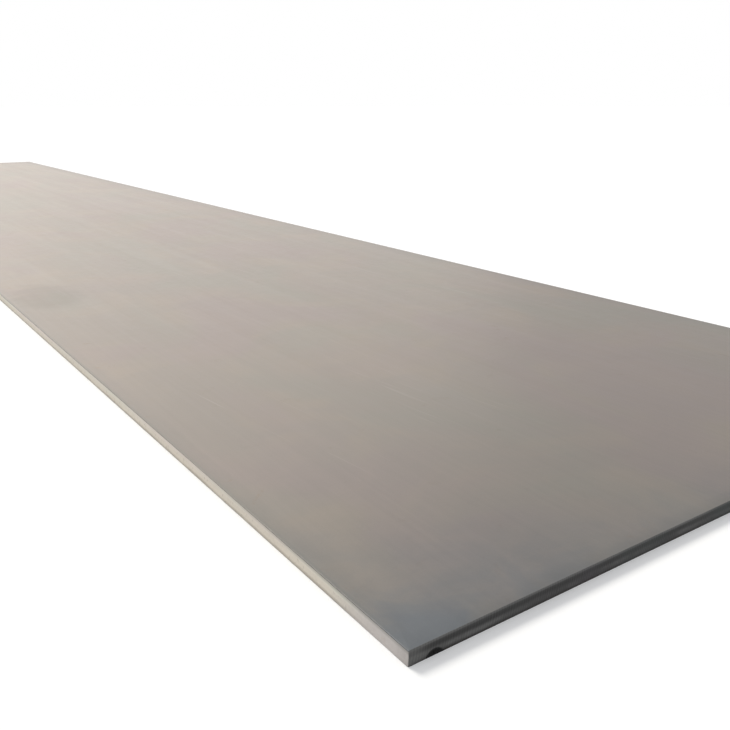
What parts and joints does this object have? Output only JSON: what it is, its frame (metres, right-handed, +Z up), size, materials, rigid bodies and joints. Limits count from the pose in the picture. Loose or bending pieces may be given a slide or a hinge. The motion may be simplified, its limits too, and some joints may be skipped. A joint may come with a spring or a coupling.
{
  "type": "steel plate",
  "caption": "Hot-rolled structural steel plate in stock size, flat, with sheared long edges and flame-cut ends, lying on its lower face.",
  "frame": {"origin": "centre of the plate's lower face, which is the face that it rests on", "axes": "+Y along the rolling direction and the length, from the near end to the far end, X across the width, +Z up through the thickness to the upper face"},
  "size_m": [2.2, 12, 0.03],
  "materials": {
    "mill_scale_steel": "hot-rolled, thin dull mill scale on both faces, bright where the long edges were sheared, dark oxide on the flame-cut ends"
  },
  "bodies": {
    "root": {"steel_plate": "mill_scale_steel"}
  },
  "joints": []
}
